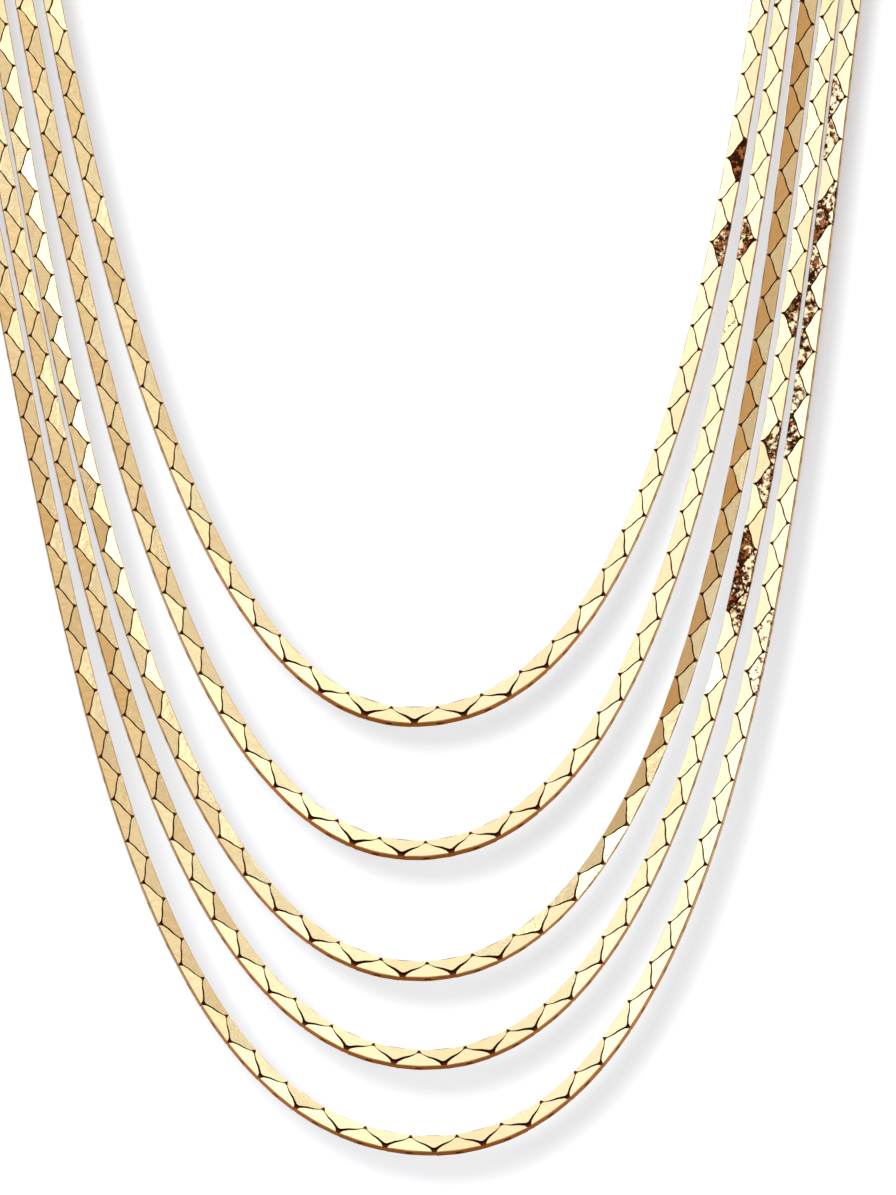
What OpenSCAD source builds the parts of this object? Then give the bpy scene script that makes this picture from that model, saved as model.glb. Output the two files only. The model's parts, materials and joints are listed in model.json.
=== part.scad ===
/* [Chain] */
// Width of every flat chain
chain_w = 2.8; // [2.6:0.05:2.9]
// Thickness of every flat chain
chain_t = 1.5; // [1.3:0.05:1.7]
// Length that one pair of links fills, notch to notch along one edge
pair_pitch = 7; // [6:0.25:8]
// Open seam between two neighbouring links
seam = 0.28; // [0.2:0.01:0.32]
// Sheet that a link is folded from
sheet_t = 0.3; // [0.26:0.01:0.32]
// Distance of a notch from the chain's edge, where the seams turn back
notch_in = 0.5; // [0.4:0.05:0.6]
// Gap between two links that follow each other along one edge
end_gap = 0.3; // [0.26:0.02:0.5]
// Width of the blunt tip of a link
tip_w = 0.5; // [0.3:0.02:0.6]

/* [Strands] */
// How far the outermost chain hangs below the collar line
outer_drop = 178.5; // [160:0.5:200]
// Distance of the outermost chain from the middle where it crosses that line
outer_reach = 75; // [70:0.5:82]

/* [Link hooks] */
// Diameter of the rivet that joins a link's two plates
rivet_d = 0.36; // [0.3:0.02:0.4]
// Distance of the rivet from the link's middle, towards the link before it
rivet_back = 0.75; // [0.6:0.05:0.9]
// Distance of the rivet from the chain's middle line, towards the fold
rivet_low = 0.1; // [0:0.02:0.16]
// Thickness of the tongue that hangs on the next link's rivet
tongue_t = 0.3; // [0.2:0.02:0.32]
// Width of the tongue at its root on the fold
tongue_w = 0.9; // [0.6:0.05:1.1]
// Clear space round the rivet in the tongue's eye
eye_gap = 0.3; // [0.26:0.02:0.32]
// Length by which the eye is drawn out, so that the seams can open in a bend
eye_travel = 0.26; // [0.2:0.02:0.34]
// Metal left round the eye
eye_rim = 0.18; // [0.14:0.02:0.2]

/* [Neck opening] */
// Depth from the nape to the chest at the collar line
neck_depth = 91; // [84:1:98]
// Height of the nape above the collar line
nape_rise = 38; // [34:1:42]
// Half of the neck's width where the inner chain crosses the shoulder
shoulder_x = 61; // [58:1:64]
// Distance from the nape forward to that crossing
shoulder_y = 44; // [40:1:48]
// Drop from the nape to that crossing
shoulder_drop = 5; // [2:1:8]
// Slope of the shoulder that the chains lie side by side on, in degrees
shoulder_slope = 28; // [22:1:34]

/* [Clasp] */
// Length of the clasp along the chains
clasp_l = 20; // [16:1:26]
// Depth of the pocket that a chain's end sits in
pocket_depth = 3; // [2:0.25:5]
// Clear space between a chain's end and its pocket
pocket_gap = 0.2; // [0.15:0.05:0.3]
// Metal between two pockets
pocket_rib = 0.4; // [0.3:0.05:0.8]
// Metal above the top pocket and below the bottom one
clasp_rim = 0.8; // [0.6:0.1:1.5]
// Metal in front of the pockets and behind them
clasp_wall = 0.6; // [0.4:0.05:1]
// Radius of the clasp's corners
clasp_corner = 1.6; // [0.8:0.1:2.4]

/* [Hidden] */

// Columns of the strand table, a row for each chain from the inner one out. The
// rows keep their proportions when the outermost chain's drop or reach is changed.
// A chain's front is two smooth curves that meet at its lowest point.
// left_x, left_lean, left_pull: where the left side crosses the collar line,
// how many degrees it leans in going down, and how far it keeps that course.
// left_round and right_round: how far the lowest point stays level each way.
LEFT_X = 0;
LEFT_LEAN = 1;
LEFT_PULL = 2;
LEFT_ROUND = 3;
LOW_X = 4;
LOW_DROP = 5;
RIGHT_ROUND = 6;
RIGHT_PULL = 7;
RIGHT_LEAN = 8;
RIGHT_X = 9;
STRAND_ROUTES = [
    [-56,   11.5, 54, 30, 1,   113,   33, 60, 9,   56],
    [-60.5, 11,   57, 36, 1.5, 133.5, 37, 61, 7.5, 59.5],
    [-65,   10.5, 60, 41, 2,   152,   42, 63, 7.5, 63.5],
    [-69.5, 14,   59, 47, 3,   165.5, 45, 62, 7.5, 67],
    [-75,   19,   62.5, 55.5, 4, 178.5, 50, 62, 8.5, 70.5]
];
strand_count = len(STRAND_ROUTES);
drop_share = outer_drop / STRAND_ROUTES[strand_count - 1][LOW_DROP];
reach_share = -outer_reach / STRAND_ROUTES[strand_count - 1][LEFT_X];

// The chest: how far it comes forward for each unit down, and its round.
chest_lean = 0.2;
chest_bow = 400;
// Tilt of a chain's face above the level at its lowest point and at the collar
tilt_low = 28;
tilt_collar = 12;
// Turn of a chain's face towards the middle, for each unit off the middle
face_turn = 0.0015;

// Course over the shoulder, as direction and as shares of the stretch before it
shoulder_course = [-0.15, 1, 0.2];
rise_share = 0.3;
cross_share = 0.4;
// How far a chain keeps its course past the shoulder and before the clasp,
// with what each chain farther out adds
past_shoulder = 22;
past_more = 2.6;
before_clasp = 30;
before_more = 2.8;

collar_z = -nape_rise;
clasp_step = chain_w + 2 * pocket_gap + pocket_rib;
clasp_t = chain_t + 2 * pocket_gap + 2 * clasp_wall;
clasp_h = (strand_count - 1) * clasp_step + chain_w + 2 * pocket_gap + 2 * clasp_rim;
end_x = clasp_l / 2 - pocket_depth + pocket_gap;
link_step = pair_pitch / 2;
flank_rise = chain_w - 2 * notch_in;
flank_slope = flank_rise / link_step;
flank_slant = norm([link_step, flank_rise]);
fold_l = pair_pitch - end_gap;
curve_steps = 40;
ring_pitch = 8.6;
ring_chamfer = 0.3;
// How far a pocket is cut past the clasp's end
cut_past = 1;
gold = "#e3bd72";
gold_clasp = "#d8ad5c";

function unit(v) = v / norm(v);
function mix(a, b, t) = a + (b - a) * t;
function bezier(p, t) =
    pow(1 - t, 3) * p[0] + 3 * pow(1 - t, 2) * t * p[1]
    + 3 * (1 - t) * t * t * p[2] + pow(t, 3) * p[3];
function reversed(list) = [for (i = [len(list) - 1 : -1 : 0]) list[i]];
function without_first(list) = [for (i = [1 : len(list) - 1]) list[i]];

// Each route point is [place, the way its face looks before it is squared up].
function chest(x, z) =
    [x, -neck_depth + chest_lean * (z - collar_z) + x * x / chest_bow, z];
function front_point(p, low_z) =
    let (height = (p.y - low_z) / (collar_z - low_z))
    let (tilt = mix(tilt_low, tilt_collar, height))
    [chest(p.x, p.y), [-face_turn * p.x, -cos(tilt), sin(tilt)]];
function front_side(side, x, lean, pull, level, low) =
    [for (i = [0 : curve_steps])
        let (start = [x * reach_share, collar_z])
        let (down = drop_share * pull * [-side * sin(lean), -cos(lean)])
        let (across = [side * level * reach_share, 0])
        let (p = bezier([start, start + down, low + across, low], i / curve_steps))
        front_point(p, low.y)];
function front(row) =
    let (low = [row[LOW_X] * reach_share, collar_z - row[LOW_DROP] * drop_share])
    concat(
        front_side(-1, row[LEFT_X], row[LEFT_LEAN], row[LEFT_PULL], row[LEFT_ROUND], low),
        without_first(reversed(
            front_side(1, row[RIGHT_X], row[RIGHT_LEAN], row[RIGHT_PULL], row[RIGHT_ROUND], low))));

// From the collar line up over the shoulder, then round the nape to the clasp.
function over_shoulder(side, k, x, lean) =
    let (start = chest(x * reach_share, collar_z))
    let (up = unit([side * sin(lean),
                    2 * start.x / chest_bow * side * sin(lean) + chest_lean * cos(lean),
                    cos(lean)]))
    let (spread = k * clasp_step)
    let (top = [side * (shoulder_x + spread * cos(shoulder_slope)), -shoulder_y,
                -shoulder_drop - spread * sin(shoulder_slope)])
    let (course = unit([side * shoulder_course.x, shoulder_course.y, shoulder_course.z]))
    let (reach = norm(top - start))
    let (goal = [side * clasp_l / 2, clasp_t / 2, ((strand_count - 1) / 2 - k) * clasp_step])
    let (leave = (past_shoulder + past_more * k) * course)
    let (arrive = [side * (before_clasp + before_more * k), 0, 0])
    let (collar_face = [0, -cos(tilt_collar), sin(tilt_collar)])
    let (top_face = [side * sin(shoulder_slope), 0, cos(shoulder_slope)])
    let (nape_face = [0, 1, 0])
    concat(
        [for (i = [0 : curve_steps - 1])
            let (t = i / curve_steps)
            [bezier([start, start + rise_share * reach * up,
                     top - cross_share * reach * course, top], t),
             unit(mix(collar_face, top_face, t))]],
        [for (i = [0 : curve_steps])
            let (t = i / curve_steps)
            [bezier([top, top + leave, goal + arrive, goal], t),
             unit(mix(top_face, nape_face, t))]],
        [[[side * end_x, goal.y, goal.z], nape_face]]);
function route(k) =
    let (row = STRAND_ROUTES[k])
    concat(
        reversed(over_shoulder(-1, k, row[LEFT_X], row[LEFT_LEAN])),
        without_first(front(row)),
        without_first(over_shoulder(1, k, row[RIGHT_X], row[RIGHT_LEAN])));

// A frame is [place, along, across, face]: the chain runs along, its inner edge
// is across, and its face looks out from the body.
function squared(place, along, look) =
    let (face = unit(look - (look * along) * along))
    [place, along, cross(face, along), face];
function frames(points) =
    [for (i = [0 : len(points) - 1])
        let (before = points[max(i - 1, 0)][0])
        let (after = points[min(i + 1, len(points) - 1)][0])
        squared(points[i][0], unit(after - before), points[i][1])];
function corner(f, a, b) = f[0] + a * chain_w / 2 * f[2] + b * chain_t / 2 * f[3];
// Links sit at an even step along whichever corner line is shortest, so that
// a bend opens the seams on its outside and closes none on its inside.
function shortest(f, g) =
    min([for (a = [-1, 1]) for (b = [-1, 1]) norm(corner(g, a, b) - corner(f, a, b))]);
function run(list) =
    [for (i = 0, s = 0; i < len(list);
        s = s + (i < len(list) - 1 ? shortest(list[i], list[i + 1]) : 0), i = i + 1) s];
function tables(list, s, item) =
    [for (axis = [0 : 2]) [for (i = [0 : len(list) - 1]) [s[i], list[i][item][axis]]]];
function at(table, s) =
    [lookup(s, table[0]), lookup(s, table[1]), lookup(s, table[2])];
// ends is 1 to put a station on each end of the route, and 0 to put the outer
// stations half a step from the ends, with over left free beyond them.
function stations(k, count_step, ends, over) =
    let (list = frames(route(k)))
    let (s = run(list))
    let (total = s[len(s) - 1])
    let (count = round((total - 2 * over) / count_step))
    let (step = (total - 2 * over) / count)
    let (places = tables(list, s, 0))
    let (faces = tables(list, s, 3))
    [for (i = [0 : count - 1 + ends])
        let (here = over + (i + (1 - ends) / 2) * step)
        let (back = at(places, max(here - step / 2, 0)))
        let (on = at(places, min(here + step / 2, total)))
        squared(at(places, here), unit(on - back), at(faces, here))];
function as_matrix(f) =
    [for (axis = [0 : 2]) [f[1][axis], f[2][axis], f[3][axis], f[0][axis]]];

// One link is a blank folded to a C: two plates, each a low gable in outline,
// that meet in a fold on the chain's edge. The rivet joins them inside.
module link_outline(edge) {
    apex = flank_rise / 2 - seam / 2 * flank_slant / link_step;
    tip_y = apex - tip_w / 2 * flank_slope;
    corner_y = apex - fold_l / 2 * flank_slope;
    polygon([
        [-fold_l / 2, -edge * chain_w / 2],
        [fold_l / 2, -edge * chain_w / 2],
        [fold_l / 2, edge * corner_y],
        [tip_w / 2, edge * tip_y],
        [-tip_w / 2, edge * tip_y],
        [-fold_l / 2, edge * corner_y]
    ]);
}

module plate(edge, z) {
    translate([0, 0, z])
        linear_extrude(sheet_t)
            link_outline(edge);
}

module fold(edge) {
    linear_extrude(chain_t, center = true)
        intersection() {
            link_outline(edge);
            translate([0, -edge * (chain_w - sheet_t) / 2])
                square([pair_pitch, sheet_t], center = true);
        }
}

module rivet(edge) {
    translate([-rivet_back, -edge * rivet_low, 0])
        cylinder(h = chain_t - sheet_t, d = rivet_d, center = true, $fn = 32);
}

// The tongue is rooted on the fold and reaches into the next link, where its
// drawn-out eye hangs round that link's rivet.
module tongue(edge) {
    eye_x = link_step - rivet_back;
    eye_y = edge * rivet_low;
    eye_r = rivet_d / 2 + eye_gap;
    out_r = eye_r + eye_rim;
    root_y = -edge * (chain_w - sheet_t) / 2;
    linear_extrude(tongue_t, center = true)
        difference() {
            union() {
                polygon([
                    [eye_x - out_r, eye_y],
                    [eye_x - out_r, root_y],
                    [eye_x - out_r + tongue_w, root_y],
                    [eye_x + out_r / 2, eye_y]
                ]);
                translate([eye_x, eye_y])
                    circle(r = out_r, $fn = 32);
                translate([eye_x, eye_y - out_r])
                    square([eye_travel, 2 * out_r]);
                translate([eye_x + eye_travel, eye_y])
                    circle(r = out_r, $fn = 32);
            }
            translate([eye_x, eye_y])
                circle(r = eye_r, $fn = 32);
            translate([eye_x, eye_y - eye_r])
                square([eye_travel, 2 * eye_r]);
            translate([eye_x + eye_travel, eye_y])
                circle(r = eye_r, $fn = 32);
        }
}

module link(edge, last) {
    plate(edge, chain_t / 2 - sheet_t);
    plate(edge, -chain_t / 2);
    fold(edge);
    rivet(edge);
    if (!last) tongue(edge);
}

// The inner chain link by link. Links lie by turns on the outer and inner edge.
module strand_1() {
    list = stations(0, link_step, 0, fold_l / 2 - link_step / 2);
    count = len(list);
    color(gold)
        for (i = [0 : count - 1])
            multmatrix(as_matrix(list[i]))
                link(i % 2 == 0 ? 1 : -1, i == count - 1);
}

// The longer chains as closed bands with the same edges and the same lay.
function section(f) =
    let (w = chain_w / 2)
    let (t = chain_t / 2)
    let (c = ring_chamfer)
    [for (p = [[w, c - t], [w, t - c], [w - c, t], [c - w, t],
               [-w, t - c], [-w, c - t], [c - w, -t], [w - c, -t]])
        f[0] + p.x * f[2] + p.y * f[3]];
module band(k) {
    list = stations(k, ring_pitch, 1, 0);
    sides = len(section(list[0]));
    rings = len(list);
    points = [for (f = list) each section(f)];
    walls = [for (r = [0 : rings - 2]) for (i = [0 : sides - 1])
        let (a = r * sides + i)
        let (b = r * sides + (i + 1) % sides)
        each [[b + sides, b, a], [a + sides, b + sides, a]]];
    start_cap = [for (i = [1 : sides - 2]) [i, i + 1, 0]];
    last_ring = (rings - 1) * sides;
    end_cap = [for (i = [1 : sides - 2]) [last_ring + i + 1, last_ring + i, last_ring]];
    polyhedron(points = points, faces = concat(walls, start_cap, end_cap), convexity = 10);
}

module strand_2() {
    color(gold) band(1);
}

module strand_3() {
    color(gold) band(2);
}

module strand_4() {
    color(gold) band(3);
}

module strand_5() {
    color(gold) band(4);
}

// One plain bar at the nape. The ends of all the chains sit in its pockets.
module clasp_outline() {
    square([clasp_l - 2 * clasp_corner, clasp_h], center = true);
    square([clasp_l, clasp_h - 2 * clasp_corner], center = true);
    for (x = [-1, 1])
        for (z = [-1, 1])
            translate([x * (clasp_l / 2 - clasp_corner), z * (clasp_h / 2 - clasp_corner)])
                circle(r = clasp_corner, $fn = 48);
}

module pocket(side, k) {
    high = chain_w + 2 * pocket_gap;
    deep = chain_t + 2 * pocket_gap;
    long = pocket_depth + cut_past;
    translate([side * (clasp_l / 2 - pocket_depth + long / 2), clasp_t / 2,
               ((strand_count - 1) / 2 - k) * clasp_step])
        cube([long, deep, high], center = true);
}

module clasp() {
    color(gold_clasp)
        difference() {
            translate([0, clasp_t, 0])
                rotate([90, 0, 0])
                    linear_extrude(clasp_t)
                        clasp_outline();
            for (side = [-1, 1])
                for (k = [0 : strand_count - 1])
                    pocket(side, k);
        }
}

strand_1();
strand_2();
strand_3();
strand_4();
strand_5();
clasp();
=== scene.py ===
import json
import math
import random

import bmesh
import bpy
from mathutils import Matrix, Vector

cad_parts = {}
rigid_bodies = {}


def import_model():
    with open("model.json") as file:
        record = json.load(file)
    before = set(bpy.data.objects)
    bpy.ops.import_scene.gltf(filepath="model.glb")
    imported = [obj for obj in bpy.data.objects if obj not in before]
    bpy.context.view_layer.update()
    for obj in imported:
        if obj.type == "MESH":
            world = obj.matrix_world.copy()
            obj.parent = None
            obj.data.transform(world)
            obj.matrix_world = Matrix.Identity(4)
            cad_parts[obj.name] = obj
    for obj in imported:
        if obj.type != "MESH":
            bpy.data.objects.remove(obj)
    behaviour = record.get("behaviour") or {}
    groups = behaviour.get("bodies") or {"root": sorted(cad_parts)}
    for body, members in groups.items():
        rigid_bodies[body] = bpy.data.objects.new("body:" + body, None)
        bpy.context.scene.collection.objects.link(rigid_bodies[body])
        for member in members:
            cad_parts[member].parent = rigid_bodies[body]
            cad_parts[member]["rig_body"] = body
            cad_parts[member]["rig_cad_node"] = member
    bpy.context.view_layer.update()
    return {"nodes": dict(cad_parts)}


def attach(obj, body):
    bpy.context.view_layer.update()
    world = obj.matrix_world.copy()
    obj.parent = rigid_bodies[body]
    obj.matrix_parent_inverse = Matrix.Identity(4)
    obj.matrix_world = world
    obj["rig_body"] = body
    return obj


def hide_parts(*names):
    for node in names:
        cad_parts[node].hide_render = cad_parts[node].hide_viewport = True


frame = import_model()
bpy.ops.object.select_all(action="DESELECT")

# The five chains. Each is a flat cobra chain of folded brass links, gold plated.
# A link is a blank folded to a C over the chain's edge, and links lie by turns on
# the outer and the inner edge, so that their seams make a zigzag.
MM = 0.001  # the sizes and places of the chains are in millimetres
chain_w = 2.8
chain_t = 1.5
link_step = 3.5
sheet_t = 0.26
notch_in = 0.5
seam = 0.2
end_gap = 0.16
tip_half = 0.2
notch_cut = 0.35
fold_round = 0.13
flank_wave = 0.07
plate_sink = 2.0
slot_half = 0.6
slot_end = 0.45
slot_lift = 0.2
tongue_half = 1.72
tongue_t = 0.3
nose_w = 0.26
nose_t = 4.2

link_half = link_step - end_gap / 2
flank_rise = chain_w - 2 * notch_in
flank_slope = flank_rise / link_step
flank_slant = math.hypot(link_step, flank_rise)
apex_y = flank_rise / 2 - seam / 2 * flank_slant / link_step
tip_y = apex_y - tip_half * flank_slope
base_y = -chain_w / 2
plate_z = chain_t / 2


def pick(kind, test):
    """Selects the verts, edges or faces of the mesh in edit mode that pass a test."""
    bpy.ops.mesh.select_all(action="DESELECT")
    bpy.ops.mesh.select_mode(type={"verts": "VERT", "edges": "EDGE", "faces": "FACE"}[kind])
    mesh = bmesh.from_edit_mesh(bpy.context.edit_object.data)
    for part in getattr(mesh, kind):
        part.select_set(test(part))
    mesh.select_flush_mode()
    bmesh.update_edit_mesh(bpy.context.edit_object.data)


def near(a, b, slack=0.002):
    """Whether two lengths are the same, but for a little slack."""
    return abs(a - b) < slack


def on_flank(v, side):
    """Whether a vert is on the plate's slanting flank at that side."""
    line_y = apex_y - flank_slope * side * v.co.x
    return near(v.co.y, line_y) and side * v.co.x > tip_half - 0.002


gold = bpy.data.materials.new("polished_gold")
# The dark inside: an unpolished finish, and painted shade for the seams and notches.
dark = bpy.data.materials.new("unpolished_inside_painted_shade")

# The front plate is cut from a strip, its two flanks trimmed and given their wave.
bpy.ops.mesh.primitive_plane_add(size=1)
link = bpy.context.object
link.name = "cobra_link"
bpy.ops.object.mode_set(mode="EDIT")
bpy.ops.transform.resize(value=(2 * link_half, tip_y - base_y, 1))
bpy.ops.transform.translate(value=(0, (tip_y + base_y) / 2, plate_z))
for side in (-1, 1):
    bpy.ops.mesh.select_all(action="SELECT")
    bpy.ops.mesh.bisect(
        plane_co=(side * tip_half, tip_y, plate_z),
        plane_no=(side * flank_slope, 1, 0), clear_outer=True)
for side in (-1, 1):
    pick("edges", lambda e: all(on_flank(v, side) for v in e.verts))
    bpy.ops.mesh.subdivide(number_cuts=2)
for side in (-1, 1):
    for share, lift in ((1 / 3, -flank_wave), (2 / 3, flank_wave)):
        x = side * (tip_half + share * (link_half - tip_half))
        pick("verts", lambda v: on_flank(v, side) and near(v.co.x, x, 0.01))
        bpy.ops.transform.translate(value=(0, lift, 0))
pick("verts", lambda v: near(abs(v.co.x), link_half) and v.co.y > base_y + 0.01)
bpy.ops.mesh.bevel(offset=notch_cut, affect="VERTICES", segments=1)

# The plate leans down a little from the fold to its tip. Its base edge is drawn
# down to the chain's middle plane, with half of the slot that the fold has.
pick("verts", lambda v: v.co.y > base_y + 0.01)
sink = math.tan(math.radians(plate_sink))
for v in bmesh.from_edit_mesh(link.data).verts:
    if v.select:
        v.co.z -= (v.co.y - base_y) * sink
pick("edges", lambda e: all(near(v.co.y, base_y) for v in e.verts))
bpy.ops.mesh.subdivide(number_cuts=2)
for v in bmesh.from_edit_mesh(link.data).verts:
    if near(v.co.y, base_y) and abs(v.co.x) < link_half - 1:
        v.co.x = math.copysign(slot_half, v.co.x)
pick("edges", lambda e: all(near(v.co.y, base_y) for v in e.verts))
bpy.ops.mesh.extrude_region_move(TRANSFORM_OT_translate={"value": (0, 0, -plate_z)})
pick("edges", lambda e: all(near(v.co.z, 0) and abs(v.co.x) < slot_half + 0.1
                            for v in e.verts))
bpy.ops.mesh.subdivide(number_cuts=2)
for v in bmesh.from_edit_mesh(link.data).verts:
    if near(v.co.z, 0) and abs(v.co.x) < slot_half - 0.1:
        v.co.x = math.copysign(slot_end, v.co.x)
        v.co.z = slot_lift
bpy.ops.mesh.select_all(action="SELECT")
bpy.ops.mesh.normals_make_consistent(inside=False)
bpy.ops.object.mode_set(mode="OBJECT")
mirror = link.modifiers.new("other_plate", "MIRROR")
mirror.use_axis = (False, False, True)
bpy.ops.object.modifier_apply(modifier=mirror.name)
if max(link.data.polygons, key=lambda p: p.center.z).normal.z < 0:
    link.data.flip_normals()

# Gold outside and dark inside: the sheet gets its thickness inwards, with the cut
# edges dark too, and the fold's two edges are rounded off. The dark is an unpolished
# inside finish and also painted shade, darker than the seams and notches would be
# from their own shade.
link.data.materials.append(gold)
link.data.materials.append(dark)
wall = link.modifiers.new("sheet", "SOLIDIFY")
wall.thickness = sheet_t
wall.offset = -1
wall.use_even_offset = True
wall.material_offset = 1
wall.material_offset_rim = 1
bpy.ops.object.modifier_apply(modifier=wall.name)
bpy.ops.object.mode_set(mode="EDIT")
pick("edges", lambda e: all(near(v.co.y, base_y) and near(abs(v.co.z), plate_z)
                            for v in e.verts))
bpy.ops.mesh.bevel(offset=fold_round, segments=1)
bpy.ops.object.mode_set(mode="OBJECT")

# The tongue inside: it joins a link to the next, hides what is behind the seams,
# and its broad nose closes the notch on the chain's other edge.
bpy.ops.mesh.primitive_cube_add(size=1)
tongue = bpy.context.object
bpy.ops.object.mode_set(mode="EDIT")
tongue_end = 0.5
tongue_play = 0.03
tongue_start = base_y + sheet_t + tongue_play
bpy.ops.transform.resize(value=(2 * tongue_half, tongue_end - tongue_start, tongue_t))
bpy.ops.transform.translate(value=(0, (tongue_end + tongue_start) / 2, 0))
pick("faces", lambda f: f.normal.y > 0.9)
nose_back = 0.06
nose_end = chain_w / 2 - nose_back
bpy.ops.mesh.extrude_region_move(
    TRANSFORM_OT_translate={"value": (0, nose_end - tongue_end, 0)})
bpy.ops.transform.resize(value=(nose_w, 1, nose_t))
bpy.ops.object.mode_set(mode="OBJECT")
tongue.data.materials.append(gold)
tongue.data.materials.append(dark)
# The tongue is dark but for its nose's end: painted shade behind the seams and in the
# notches.
for face in tongue.data.polygons:
    face.material_index = 0 if face.normal.y > 0.9 else 1
bpy.ops.object.select_all(action="DESELECT")
tongue.select_set(True)
link.select_set(True)
bpy.context.view_layer.objects.active = link
bpy.ops.object.join()

# The finish: polished gold, a little deeper in tone from link to link, with fine
# marks along each facet, and on some links a painted reflection: dark brown blotches
# with pale specks, standing for dark things mirrored in the polish. link_grain is a
# place on the link, shifted for each link, link_tone is the link's own tone, and
# link_dark_reflection says how strong the painted reflection is.
gold.use_nodes = True
nodes, links = gold.node_tree.nodes, gold.node_tree.links
shader = nodes["Principled BSDF"]
shader.inputs["Metallic"].default_value = 1.0


def add_node(kind, **values):
    """A node with its plain properties set, and its sockets by name."""
    node = nodes.new(kind)
    for name, value in values.items():
        if name in node.inputs:
            node.inputs[name].default_value = value
        else:
            setattr(node, name, value)
    return node


def noise(place, **values):
    """A cloudy pattern at that place."""
    node = add_node("ShaderNodeTexNoise", **values)
    links.new(place, node.inputs["Vector"])
    return node.outputs["Fac"]


def tones(value, first, last, *between):
    """A colour ramp along a value. Each step is where it lies and its colour."""
    node = add_node("ShaderNodeValToRGB")
    ramp = node.color_ramp.elements
    for step, (where, colour) in zip(ramp, (first, last)):
        step.position = where
        step.color = (*colour, 1)
    for where, colour in between:
        ramp.new(where).color = (*colour, 1)
    links.new(value, node.inputs["Fac"])
    return node.outputs["Color"]


def ranged(value, start=0, end=1, least=0, most=1):
    """A value that goes from least to most while the given one goes from start to end."""
    node = add_node("ShaderNodeMapRange")
    for name, limit in (("From Min", start), ("From Max", end),
                        ("To Min", least), ("To Max", most)):
        node.inputs[name].default_value = limit
    links.new(value, node.inputs["Value"])
    return node.outputs["Result"]


def set_or_link(source, socket):
    """Gives a socket a number or colour, or links another socket to it."""
    if isinstance(source, bpy.types.NodeSocket):
        links.new(source, socket)
    else:
        socket.default_value = source


def reckon(operation, *parts):
    """A sum on sockets and numbers."""
    node = add_node("ShaderNodeMath", operation=operation)
    for part, socket in zip(parts, node.inputs):
        set_or_link(part, socket)
    return node.outputs["Value"]


def mixed(share, under, over):
    """A colour with another mixed in by that share."""
    node = add_node("ShaderNodeMix", data_type="RGBA")
    for part, socket in ((share, 0), (under, 6), (over, 7)):
        set_or_link(part, node.inputs[socket])
    return node.outputs[2]


def bumped(height, strength, distance, under=None):
    """A relief, on top of another one if that is given."""
    node = add_node("ShaderNodeBump", Strength=strength, Distance=distance)
    links.new(height, node.inputs["Height"])
    if under:
        links.new(under, node.inputs["Normal"])
    return node.outputs["Normal"]


grain_place, tone_value, dark_reflection_value = (
    add_node("ShaderNodeAttribute", attribute_name=name)
    for name in ("link_grain", "link_tone", "link_dark_reflection"))
spot_here = grain_place.outputs["Vector"]
stretch = add_node("ShaderNodeMapping", Scale=(0.35, 6.0, 2.0))
links.new(spot_here, stretch.inputs["Vector"])
streaks = noise(stretch.outputs["Vector"], Scale=2.2, Detail=4.0, Roughness=0.6)
clouds = noise(spot_here, Scale=0.9, Detail=3.0, Roughness=0.55)
own_tone = reckon("MULTIPLY", tone_value.outputs["Fac"], 0.6)
gold_tones = tones(reckon("MULTIPLY_ADD", clouds, 0.5, own_tone),
                   (0.25, (0.90, 0.74, 0.42)), (0.85, (0.95, 0.83, 0.52)))
# Painted reflection of dark things: where link_dark_reflection is high, dark brown blotches
# with pale specks between them, and a rougher surface there.
specks = noise(spot_here, Scale=1.1, Detail=5.0, Roughness=0.68)
dark_reflection_share = ranged(reckon("ADD", specks, dark_reflection_value.outputs["Fac"]), 0.98, 1.03)
blotches = noise(spot_here, Scale=0.9, Detail=5.0, Roughness=0.75)
dark_reflection_browns = tones(blotches, (0.5, (0.04, 0.01, 0.003)), (0.57, (0.45, 0.17, 0.05)))
links.new(mixed(dark_reflection_share, gold_tones, dark_reflection_browns), shader.inputs["Base Color"])
polish = ranged(streaks, least=0.13, most=0.22)
links.new(reckon("MULTIPLY_ADD", dark_reflection_share, 0.3, polish), shader.inputs["Roughness"])
waves = bumped(clouds, 0.5, 0.00003)
links.new(bumped(streaks, 0.06, 0.00002, waves), shader.inputs["Normal"])

# The inside: unpolished brass brown, taken nearly to black as painted shade, so that the
# seams, cut edges and notches look shaded.
dark.use_nodes = True
dark_shader = dark.node_tree.nodes["Principled BSDF"]
dark_shader.inputs["Metallic"].default_value = 1.0
dark_shader.inputs["Base Color"].default_value = (0.2, 0.045, 0.012, 1)
dark_shader.inputs["Roughness"].default_value = 0.6

# How the chains hang. A front is two smooth curves from the collar line to the
# lowest point, and each end goes on over the shoulder and round to the clasp.
# A row: at the left the place on the collar line, the lean there, how far the curve
# keeps that lean and how round the bottom is, then the lowest point's place and
# drop, then the right side's values the other way round.
strand_routes = [
    [-56, 11.5, 54, 30, 1, 113, 33, 60, 9, 56],
    [-60.5, 11, 57, 36, 1.5, 133.5, 37, 61, 7.5, 59.5],
    [-65, 10.5, 60, 41, 2, 152, 42, 63, 7.5, 63.5],
    [-69.5, 14, 59, 47, 3, 165.5, 45, 62, 7.5, 67],
    [-75, 19, 62.5, 55.5, 4, 178.5, 50, 62, 8.5, 70.5],
]
collar_z = -38
neck_depth = 91
chest_lean = 0.2
chest_bow = 400
tilt_low, tilt_collar = 28, 12
face_turn = 0.0015
shoulder_x, shoulder_y, shoulder_drop = 61, 44, 5
shoulder_slope = math.radians(28)
shoulder_course = (-0.15, 1, 0.2)
rise_share, cross_share = 0.3, 0.4
past_shoulder, past_more = 22, 2.6
before_clasp, before_more = 30, 2.8
clasp_l, clasp_t, clasp_step = 20, 3.1, 3.6
end_x = 7.2
curve_steps = 40


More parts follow.
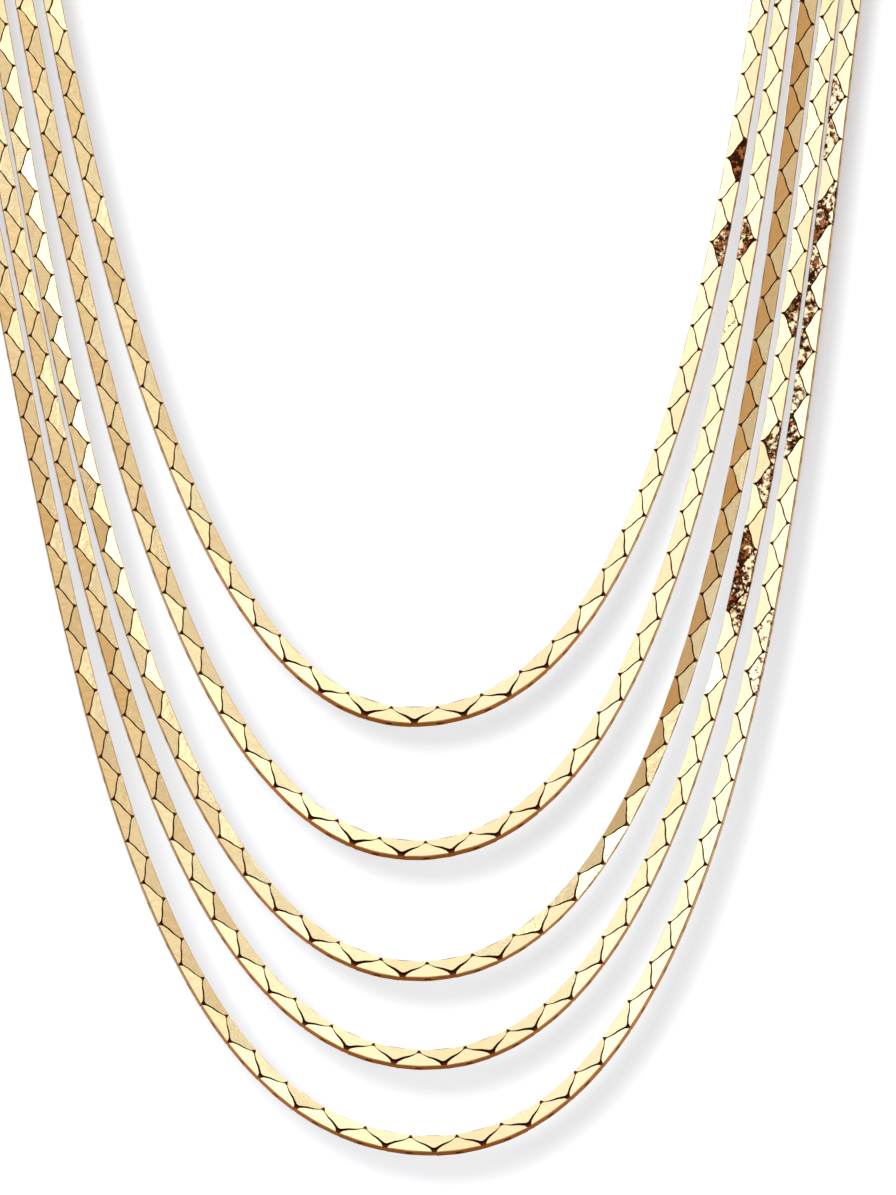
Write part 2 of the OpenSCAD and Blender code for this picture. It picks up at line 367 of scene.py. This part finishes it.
def bezier(a, b, c, d, t):
    """A place on the smooth curve from a to d that b and c pull out."""
    u = 1 - t
    return u * u * u * a + 3 * u * u * t * b + 3 * u * t * t * c + t * t * t * d


def tilted(degrees):
    """Where a face looks that leans back by that much."""
    a = math.radians(degrees)
    return Vector((0, -math.cos(a), math.sin(a)))


def chest(x, z):
    """The place on the slanting, slightly round plane that the fronts hang in."""
    return Vector((x, -neck_depth + chest_lean * (z - collar_z) + x * x / chest_bow, z))


def front_side(side, x, lean, pull, level, low):
    """One side of a front, from the collar line down to the lowest point."""
    a = math.radians(lean)
    start = Vector((x, collar_z))
    down = start + pull * Vector((-side * math.sin(a), -math.cos(a)))
    points = []
    for i in range(curve_steps + 1):
        p = bezier(start, down, low + Vector((side * level, 0)), low, i / curve_steps)
        height = (p.y - low.y) / (collar_z - low.y)
        look = tilted(tilt_low + (tilt_collar - tilt_low) * height)
        look.x = -face_turn * p.x
        points.append((chest(p.x, p.y), look))
    return points


def over_shoulder(side, k, x, lean):
    """The way from the collar line over the shoulder into the clasp's pocket."""
    a = math.radians(lean)
    start = chest(x, collar_z)
    up = Vector((side * math.sin(a),
                 2 * x / chest_bow * side * math.sin(a) + chest_lean * math.cos(a),
                 math.cos(a))).normalized()
    spread = k * clasp_step
    top = Vector((side * (shoulder_x + spread * math.cos(shoulder_slope)), -shoulder_y,
                  -shoulder_drop - spread * math.sin(shoulder_slope)))
    course = Vector((side * shoulder_course[0], *shoulder_course[1:])).normalized()
    reach = (top - start).length
    goal = Vector((side * clasp_l / 2, clasp_t / 2, (2 - k) * clasp_step))
    leave = top + (past_shoulder + past_more * k) * course
    arrive = goal + Vector((side * (before_clasp + before_more * k), 0, 0))
    top_face = Vector((side * math.sin(shoulder_slope), 0, math.cos(shoulder_slope)))
    nape_face = Vector((0, 1, 0))
    points = []
    for i in range(curve_steps):
        t = i / curve_steps
        place = bezier(start, start + rise_share * reach * up,
                       top - cross_share * reach * course, top, t)
        points.append((place, tilted(tilt_collar).lerp(top_face, t)))
    for i in range(curve_steps + 1):
        t = i / curve_steps
        points.append((bezier(top, leave, arrive, goal, t), top_face.lerp(nape_face, t)))
    return points + [(Vector((side * end_x, goal.y, goal.z)), nape_face)]


def squared(place, along, look):
    """A frame at right angles: place, course, inner edge and face."""
    face = (look - look.dot(along) * along).normalized()
    return place, along, face.cross(along), face


def route(k):
    """The middle line of chain k from its left end to its right, with its frames."""
    (left_x, left_lean, left_pull, left_round, low_x, drop,
     right_round, right_pull, right_lean, right_x) = strand_routes[k]
    low = Vector((low_x, collar_z - drop))
    points = over_shoulder(-1, k, left_x, left_lean)[::-1]
    points += front_side(-1, left_x, left_lean, left_pull, left_round, low)[1:]
    points += front_side(1, right_x, right_lean, right_pull, right_round, low)[::-1][1:]
    points += over_shoulder(1, k, right_x, right_lean)[1:]
    framed = []
    for i, (place, look) in enumerate(points):
        before, after = points[max(i - 1, 0)][0], points[min(i + 1, len(points) - 1)][0]
        framed.append(squared(place, (after - before).normalized(), look))
    return framed


def shortest(f, g):
    """Length of a stretch along whichever of the chain's four corner lines is shortest."""
    corners = [(a * chain_w / 2, b * chain_t / 2) for a in (-1, 1) for b in (-1, 1)]
    return min((g[0] + a * g[2] + b * g[3] - f[0] - a * f[2] - b * f[3]).length
               for a, b in corners)


def stations(k):
    """A place, course, inner edge and face for each link of chain k."""
    framed = route(k)
    runs = [0]
    for f, g in zip(framed, framed[1:]):
        runs.append(runs[-1] + shortest(f, g))

    def at(s, item):
        s = min(max(s, 0), runs[-1])
        i = next((i for i in range(1, len(runs)) if runs[i] >= s), len(runs) - 1)
        t = (s - runs[i - 1]) / (runs[i] - runs[i - 1])
        return framed[i - 1][item].lerp(framed[i][item], t)

    spare = link_half - link_step / 2
    count = round((runs[-1] - 2 * spare) / link_step)
    step = (runs[-1] - 2 * spare) / count
    found = []
    for i in range(count):
        s = spare + (i + 0.5) * step
        along = (at(s + step / 2, 0) - at(s - step / 2, 0)).normalized()
        found.append(squared(at(s, 0), along, at(s, 3)))
    return found


grain = [Vector(v.co) for v in link.data.vertices]
for name, kind in (("link_grain", "FLOAT_VECTOR"), ("link_tone", "FLOAT"),
                   ("link_dark_reflection", "FLOAT")):
    link.data.attributes.new(name, kind, "POINT")

# A chain turns a little about its own course, in degrees at its left and right side.
strand_turns = [(-1.6, -0.5), (-1.6, -1.2), (2.0, 9.8), (-0.8, 0.0), (-0.8, -5.0)]
# Links with a painted reflection of dark things in their polish: chain, outer or
# inner edge, height of the middle of the stretch and half of its length, and how
# strong the painted reflection is. They are on the right side, in front of front_y.
dark_reflection_places = [
    (0, 1, -63, 3, 0.7), (0, 1, -76.5, 3, 0.55), (1, -1, -75, 5, 0.54),
    (1, -1, -87, 3, 0.42), (3, 1, -88, 4, 0.56), (3, 1, -112, 5, 0.52),
    (3, -1, -129, 6, 0.58), (3, 1, -133, 7, 0.51), (4, -1, -52, 4, 0.49),
    (4, -1, -59, 4, 0.47), (4, -1, -73, 4, 0.57), (4, 1, -72, 4, 0.53),
    (4, -1, -85, 8, 0.52), (4, -1, -97, 5, 0.5), (4, -1, -108, 6, 0.54),
    (4, 1, -141, 4, 0.46),
]
front_y = -60
nose_verts = [v for v, g in enumerate(grain) if g.y > nose_end - 0.01]
edge_verts = [v for v, g in enumerate(grain) if g.y < base_y + sheet_t + 0.01]
turn_spread = 0.6
grain_reach = 90
draw = random.Random(11)
for k in range(5):
    copies = []
    found = stations(k)
    for i, (place, along, across, face) in enumerate(found):
        edge = 1 if i % 2 == 0 else -1
        turned = Matrix((along * edge, across * edge, face)).transposed().to_4x4()
        left, right = strand_turns[k]
        turn = left * max(-along.z, 0) + right * max(along.z, 0) + draw.gauss(0, turn_spread)
        roll = Matrix.Rotation(math.radians(turn * edge), 4, "X")
        pitch = Matrix.Rotation(math.radians(draw.gauss(0, turn_spread)), 4, "Y")
        copy = link.copy()
        copy.data = link.data.copy()
        bend = found[min(i + 1, len(found) - 1)][1] - found[max(i - 1, 0)][1]
        curve = -bend.dot(across * edge) / (2 * link_step)
        # The nose and the fold follow the chain's bend at this link.
        for v in nose_verts:
            copy.data.vertices[v].co.y += link_step ** 2 / 4 * curve
        for v in edge_verts:
            spot = copy.data.vertices[v].co
            spot.y += (link_half ** 2 / 2 - spot.x ** 2) / 2 * curve
        copy.data.transform(Matrix.Scale(MM, 4) @ Matrix.Translation(place)
                            @ turned @ roll @ pitch)
        shift = Vector([draw.uniform(0, grain_reach) for _ in range(3)])
        tone_here = draw.random()
        # How strong the painted dark reflection is on this link, from
        # dark_reflection_places.
        reflection_here = max([part for at_k, at_edge, z, reach, part in dark_reflection_places
                    if at_k == k and at_edge == edge and place.x > 0
                    and place.y < front_y and abs(place.z - z) < reach], default=0)
        for v, g in enumerate(grain):
            copy.data.attributes["link_grain"].data[v].vector = g + shift
            copy.data.attributes["link_tone"].data[v].value = tone_here
            copy.data.attributes["link_dark_reflection"].data[v].value = reflection_here
        bpy.context.collection.objects.link(copy)
        copies.append(copy)
    bpy.ops.object.select_all(action="DESELECT")
    for copy in copies:
        copy.select_set(True)
    bpy.context.view_layer.objects.active = copies[0]
    bpy.ops.object.join()
    chain = bpy.context.object
    chain.name = f"chain_{k + 1}"
    chain.data.name = chain.name
    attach(chain, "root")
    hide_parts(f"strand_{k + 1}")
bpy.data.objects.remove(link)

# The clasp: one plain gold-plated bar at the nape, with a pocket for each chain
# end. Its edges are rounded over as a polished casting's are.
bpy.ops.object.select_all(action="DESELECT")
clasp = frame["nodes"]["clasp"].copy()
clasp.data = frame["nodes"]["clasp"].data.copy()
clasp.name = "bar_clasp"
clasp.data.name = clasp.name
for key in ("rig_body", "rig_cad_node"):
    if key in clasp:
        del clasp[key]
clasp.parent = None
bpy.context.collection.objects.link(clasp)
clasp.select_set(True)
bpy.context.view_layer.objects.active = clasp
bpy.ops.object.mode_set(mode="EDIT")
bpy.ops.mesh.select_all(action="SELECT")
bpy.ops.mesh.remove_doubles(threshold=0.000005)
bpy.ops.mesh.dissolve_limited(angle_limit=math.radians(1))
bpy.ops.object.mode_set(mode="OBJECT")
soft_edge = clasp.modifiers.new("soft_edge", "BEVEL")
soft_edge.width = 0.00025
soft_edge.segments = 3
soft_edge.limit_method = "ANGLE"
soft_edge.angle_limit = math.radians(40)
bpy.ops.object.modifier_apply(modifier=soft_edge.name)
bpy.ops.object.shade_smooth_by_angle(angle=math.radians(35))
clasp_gold = bpy.data.materials.new("clasp_gold")
clasp_gold.use_nodes = True
clasp.data.materials.clear()
clasp.data.materials.append(clasp_gold)
nodes, links = clasp_gold.node_tree.nodes, clasp_gold.node_tree.links
shader = nodes["Principled BSDF"]
shader.inputs["Metallic"].default_value = 1.0
clasp_place = add_node("ShaderNodeTexCoord").outputs["Object"]
brush = add_node("ShaderNodeMapping", Scale=(60.0, 900.0, 900.0))
links.new(clasp_place, brush.inputs["Vector"])
lines = noise(brush.outputs["Vector"], Scale=3.0, Detail=5.0)
wear = noise(clasp_place, Scale=260.0, Detail=4.0)
links.new(tones(wear, (0, (0.78, 0.45, 0.15)), (1, (0.88, 0.60, 0.27))),
          shader.inputs["Base Color"])
links.new(ranged(lines, least=0.14, most=0.3), shader.inputs["Roughness"])
links.new(bumped(lines, 0.1, 0.00002), shader.inputs["Normal"])
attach(clasp, "root")
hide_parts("clasp")

# The floor and the paper: a plain pale round far enough below not to touch the
# necklace, and white paper behind it, which takes its soft shadow.
bpy.ops.mesh.primitive_circle_add(vertices=96, radius=0.4, fill_type="NGON",
                                  location=(0, -0.06, -0.262))
floor = bpy.context.object
floor.name = "floor"
pale = bpy.data.materials.new("pale_floor")
pale.use_nodes = True
pale_shader = pale.node_tree.nodes["Principled BSDF"]
pale_shader.inputs["Base Color"].default_value = (0.8, 0.82, 0.83, 1)
pale_shader.inputs["Roughness"].default_value = 0.8
floor.data.materials.append(pale)
bpy.ops.mesh.primitive_plane_add(size=0.5, location=(0.0, 0.008, -0.012),
                                 rotation=(math.radians(90), 0, 0))
paper = bpy.context.object
paper.name = "paper"
white = bpy.data.materials.new("white_paper")
white.use_nodes = True
nodes, links = white.node_tree.nodes, white.node_tree.links
shader = nodes["Principled BSDF"]
shader.inputs["Base Color"].default_value = (0.335, 0.345, 0.365, 1)
shader.inputs["Roughness"].default_value = 1.0
shader.inputs["Emission Color"].default_value = (0.99, 0.99, 0.92, 1)
shader.inputs["Emission Strength"].default_value = 0.33
side = add_node("ShaderNodeNewGeometry")
clear = add_node("ShaderNodeBsdfTransparent")
paper_mix = add_node("ShaderNodeMixShader")
links.new(side.outputs["Backfacing"], paper_mix.inputs["Fac"])
links.new(shader.outputs["BSDF"], paper_mix.inputs[1])
links.new(clear.outputs["BSDF"], paper_mix.inputs[2])
links.new(paper_mix.outputs["Shader"], nodes["Material Output"].inputs["Surface"])
paper.data.materials.append(white)
floor.visible_glossy = False
paper.visible_glossy = False
paper.visible_diffuse = False
paper.visible_shadow = False

# The camera stands where the photograph was taken from, level with the chains.
camera = bpy.data.objects.new("camera", bpy.data.cameras.new("camera"))
bpy.context.collection.objects.link(camera)
camera.location = (0.00651, -1.609, -0.1326)
camera.rotation_euler = (math.radians(90), 0, 0)
camera.data.sensor_width = 36
camera.data.lens = 291.6
camera.data.clip_end = 20
bpy.context.scene.camera = camera


def softbox(name, size, place, aim, radiance):
    """A white studio light of that radiance, which the camera doesn't see."""
    lamp = bpy.data.objects.new(name, bpy.data.lights.new(name, "AREA"))
    lamp.data.shape = "RECTANGLE"
    lamp.data.size, lamp.data.size_y = size
    lamp.data.energy = radiance * size[0] * size[1] * math.pi
    lamp.location = place
    lamp.rotation_euler = (Vector(aim) - Vector(place)).to_track_quat("-Z", "Y").to_euler()
    lamp.visible_camera = False
    bpy.context.collection.objects.link(lamp)
    return lamp


# The light: a big soft box high in front and one to the left of it, a small bright
# card for the white glints, a soft box behind the neck, and a small lamp beside
# the camera, which lights the paper for the chains' shadow and makes no glint.
middle = (0, -0.1, -0.12)
softbox("high_light", (1.5, 1.15), (0, -1.0, 1.35), middle, 0.4)
softbox("left_light", (1.5, 1.1), (-0.68, -1.8, 0.72), middle, 0.45)
softbox("glint_card", (0.08, 0.1), (-0.026, -1.81, 0.96), middle, 8)
softbox("back_light", (1.8, 1.4), (0, 1.7, 0.7), middle, 0.6)
shadow_lamp = softbox("shadow_lamp", (0.07, 0.07), (-0.028, -1.6, -0.097), middle, 2500)
shadow_lamp.visible_glossy = False

# The room that the gold reflects: pale above and tan below, brown low down and
# behind, warm to the right up to where it turns pale, cool to the left and dark at
# both sides. The camera itself sees plain white.
world = bpy.data.worlds.new("studio")
bpy.context.scene.world = world
world.use_nodes = True
nodes, links = world.node_tree.nodes, world.node_tree.links
way = add_node("ShaderNodeSeparateXYZ")
links.new(add_node("ShaderNodeTexCoord").outputs["Generated"], way.inputs["Vector"])
to_right, to_back, to_top = (way.outputs[axis] for axis in "XYZ")
height = reckon("MULTIPLY_ADD", to_top, 0.5, 0.5)
tan = (0.62, 0.52, 0.42)
plain_tones = tones(height, (0.1, (0.5, 0.4, 0.3)), (0.9, (0.72, 0.71, 0.7)),
                    (0.4, tan), (0.7, (0.6, 0.58, 0.56)))
brown_tones = tones(height, (0.12, (0.25, 0.09, 0.025)), (0.45, tan),
                    (0.34, (0.5, 0.21, 0.09)))
warm_tones = tones(height, (0.735, (0.54, 0.28, 0.1)), (0.83, (1.15, 1.2, 1.2)),
                   (0.77, (0.76, 0.52, 0.3)))
cool_tone = (0.95, 0.96, 1.2, 1)
side_tone = (0.2, 0.08, 0.03, 1)
below = ranged(to_top, 0, -0.1)
above = ranged(to_top, -0.1, 0.2)
low_behind = reckon("MULTIPLY", ranged(to_back, 0, 0.3, least=0.55), below)
warm_above = reckon("MULTIPLY", ranged(to_right, 0.04, 0.22), above)
cool_above = reckon("MULTIPLY", ranged(to_right, -0.17, -0.3), above)
far_sides = ranged(reckon("ABSOLUTE", to_right), 0.8, 0.95)
room_tones = mixed(low_behind, plain_tones, brown_tones)
room_tones = mixed(warm_above, room_tones, warm_tones)
room_tones = mixed(cool_above, room_tones, cool_tone)
room_tones = mixed(far_sides, room_tones, side_tone)
room = add_node("ShaderNodeBackground", Strength=1.0)
links.new(room_tones, room.inputs["Color"])
backdrop = nodes["Background"]
backdrop.inputs["Color"].default_value = (1, 1, 1, 1)
either = add_node("ShaderNodeMixShader")
links.new(add_node("ShaderNodeLightPath").outputs["Is Camera Ray"], either.inputs["Fac"])
links.new(room.outputs["Background"], either.inputs[1])
links.new(backdrop.outputs["Background"], either.inputs[2])
links.new(either.outputs["Shader"], nodes["World Output"].inputs["Surface"])
bpy.context.scene.view_settings.view_transform = "Standard"
